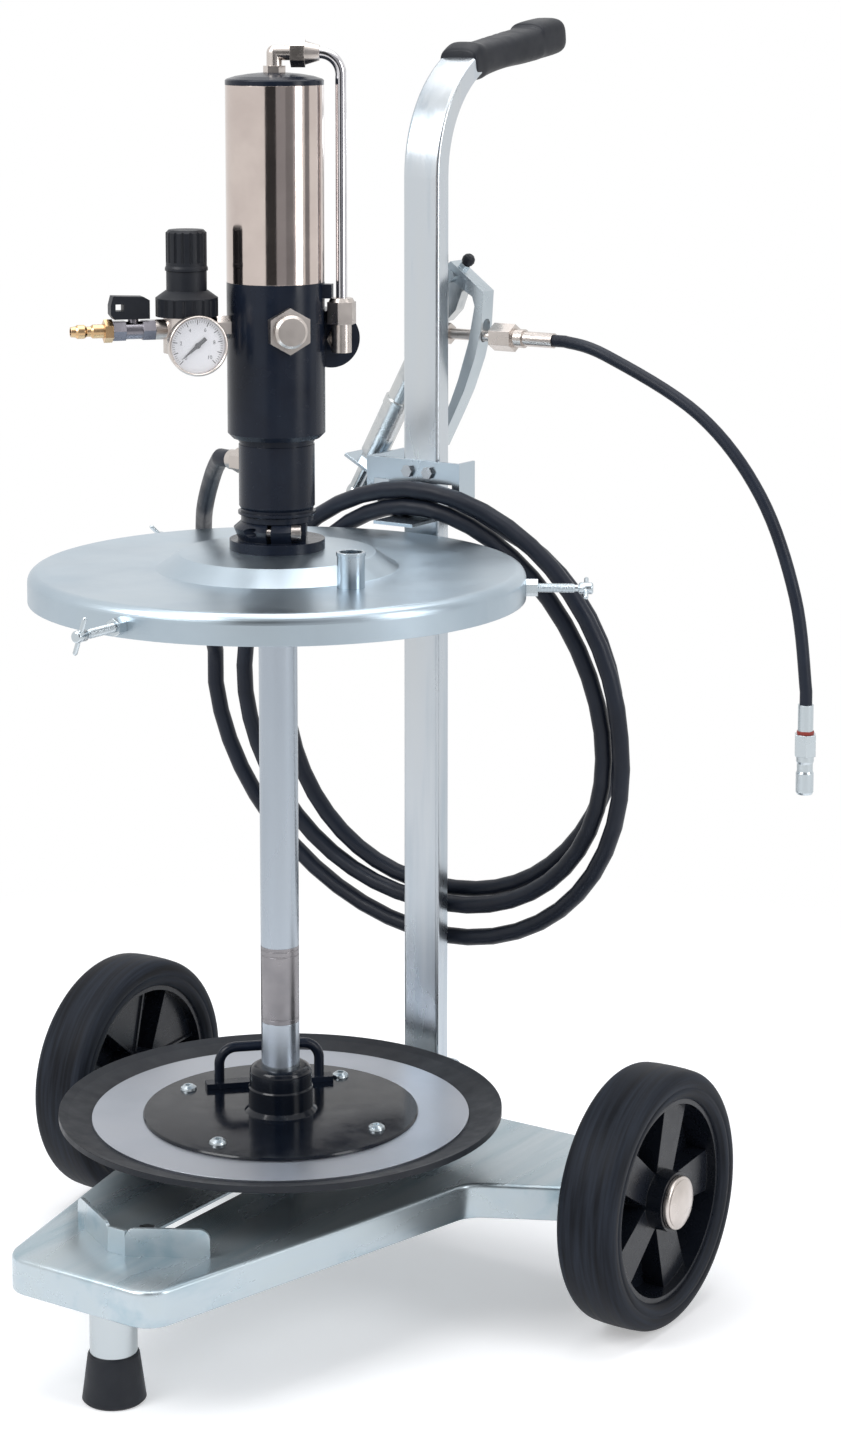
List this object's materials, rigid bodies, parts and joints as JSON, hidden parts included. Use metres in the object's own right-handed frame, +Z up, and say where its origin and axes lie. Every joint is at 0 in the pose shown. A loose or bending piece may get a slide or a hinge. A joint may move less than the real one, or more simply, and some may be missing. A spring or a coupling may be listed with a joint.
{
  "type": "pneumatic grease pump on a drum trolley",
  "caption": "Air-driven grease pump on a two-wheeled trolley, with a drum cover, a sliding follower plate, an air regulator with gauge, and a coiled hose that feeds a grease gun.",
  "frame": {"origin": "on the floor below the middle of the trolley, halfway between the tray front and the grip end", "axes": "+X along the axle from the left wheel to the right wheel, +Y from the foot towards the handle, +Z up"},
  "size_m": [0.7071, 0.7268, 1.1204],
  "materials": {
    "zinc": "bright zinc plating, satin",
    "zinc_small": "bright zinc plating",
    "gun_zinc": "zinc plated, satin",
    "suction_steel": "drawn steel tube, zinc plated",
    "sleeve_steel": "turned steel, darker",
    "bolt_steel": "plain plated steel",
    "nickel": "nickel plated, polished",
    "air_tube_chrome": "polished tube",
    "stainless": "polished stainless, warm reflection",
    "valve_dark": "dark nickel",
    "brass": "machined brass",
    "black_enamel": "black, semi-gloss",
    "black_plastic": "moulded black plastic",
    "needle_black": "matt black",
    "dial_white": "white enamel dial",
    "tyre_rubber": "black rubber",
    "soft_rubber": "black moulded rubber",
    "hose_rubber": "black rubber hose, fine cover"
  },
  "bodies": {
    "trolley": {"tray": "zinc", "axle": "bolt_steel", "foot_post": "zinc", "foot_ferrule": "soft_rubber", "column": "zinc", "column_plate": "zinc", "handle_grip": "black_plastic", "trolley_bolts": "bolt_steel", "hose_bracket": "zinc", "motor_cap": "black_enamel", "motor_cylinder": "stainless", "motor_body": "black_enamel", "valve_housing": "black_enamel", "front_plug": "nickel", "air_elbow_top": "nickel", "air_tube": "air_tube_chrome", "air_elbow_side": "nickel", "pump_body": "black_enamel", "outlet_fitting": "nickel", "suction_tube": "suction_steel", "tube_sleeve": "sleeve_steel", "regulator_body": "nickel", "regulator_bonnet": "black_plastic", "gauge_case": "nickel", "gauge_dial": "dial_white", "ball_valve": "valve_dark", "air_nipple": "brass", "gun_body": "gun_zinc", "gun_outlet": "nickel", "hose_lead": "hose_rubber", "hose_coil": "hose_rubber", "whip_hose": "hose_rubber", "whip_coupler": "nickel"},
    "wheel_right": {"tyre_right": "tyre_rubber", "rim_right": "black_plastic", "hub_cap_right": "nickel"},
    "wheel_left": {"tyre_left": "tyre_rubber", "rim_left": "black_plastic", "hub_cap_left": "nickel"},
    "stop": {"drum_stop": "zinc", "drum_stop_bolt": "bolt_steel"},
    "piston_unit": {"piston": "bolt_steel"},
    "cover": {"drum_lid": "zinc", "bung_clamp": "black_enamel", "clamp_screw": "nickel", "vent_stub": "zinc", "lid_nuts": "zinc_small"},
    "cover_screw_front": {"lid_screw_front": "zinc_small"},
    "cover_screw_right": {"lid_screw_right": "zinc_small"},
    "cover_screw_left": {"lid_screw_left": "zinc_small"},
    "follower": {"follower_seal": "soft_rubber", "follower_plate": "zinc", "follower_disc": "black_enamel", "follower_screws": "zinc_small", "follower_handle": "black_enamel"},
    "knob": {"regulator_knob": "black_plastic"},
    "needle": {"gauge_needle": "needle_black"},
    "valve_handle": {"valve_lever": "black_plastic"},
    "squeeze_lever": {"gun_trigger": "zinc_small", "gun_knob": "black_plastic"}
  },
  "joints": [
    {"name": "wheel_right_spin", "type": "hinge", "parent": "trolley", "child": "wheel_right", "pos_m": [0.2865, 0.06241, 0.113], "axis": [1, 0, 0], "continuous": true},
    {"name": "wheel_left_spin", "type": "hinge", "parent": "trolley", "child": "wheel_left", "pos_m": [-0.2865, 0.06241, 0.113], "axis": [1, 0, 0], "continuous": true},
    {"name": "stop_slide", "type": "slide", "parent": "trolley", "child": "stop", "axis": [0, 1, 0], "range_m": [0, 0.06]},
    {"name": "piston_stroke", "type": "slide", "parent": "trolley", "child": "piston_unit", "axis": [0, 0, 1], "range_m": [-0.05, 0.05]},
    {"name": "cover_slide", "type": "slide", "parent": "trolley", "child": "cover", "axis": [0, 0, 1], "range_m": [-0.08, 0]},
    {"name": "cover_screw_front_travel", "type": "slide", "parent": "cover", "child": "cover_screw_front", "axis": [0, -1, 0], "range_m": [0, 0.01]},
    {"name": "cover_screw_right_travel", "type": "slide", "parent": "cover", "child": "cover_screw_right", "axis": [0.866, 0.5, 0], "range_m": [0, 0.01]},
    {"name": "cover_screw_left_travel", "type": "slide", "parent": "cover", "child": "cover_screw_left", "axis": [-0.866, 0.5, 0], "range_m": [0, 0.01]},
    {"name": "follower_slide", "type": "slide", "parent": "trolley", "child": "follower", "axis": [0, 0, 1], "range_m": [-0.02, 0.32]},
    {"name": "knob_turn", "type": "hinge", "parent": "trolley", "child": "knob", "pos_m": [-0.04846, -0.14193, 0.93], "axis": [0, 0, 1], "continuous": true},
    {"name": "needle_swing", "type": "hinge", "parent": "trolley", "child": "needle", "pos_m": [-0.01861, -0.1661, 0.8555], "axis": [0.7771, -0.6293, 0], "range_deg": [-270, 0], "stiffness_Nm_per_rad": 0.0004},
    {"name": "valve_lever_turn", "type": "hinge", "parent": "trolley", "child": "valve_handle", "pos_m": [-0.07741, -0.17768, 0.88], "axis": [0, 0, 1], "range_deg": [-90, 0]},
    {"name": "squeeze_lever_swing", "type": "hinge", "parent": "trolley", "child": "squeeze_lever", "pos_m": [0.01049, 0.17991, 0.88955], "axis": [0, 1, 0], "range_deg": [0, 12], "stiffness_Nm_per_rad": 3, "springref_deg": -2.86}
  ]
}
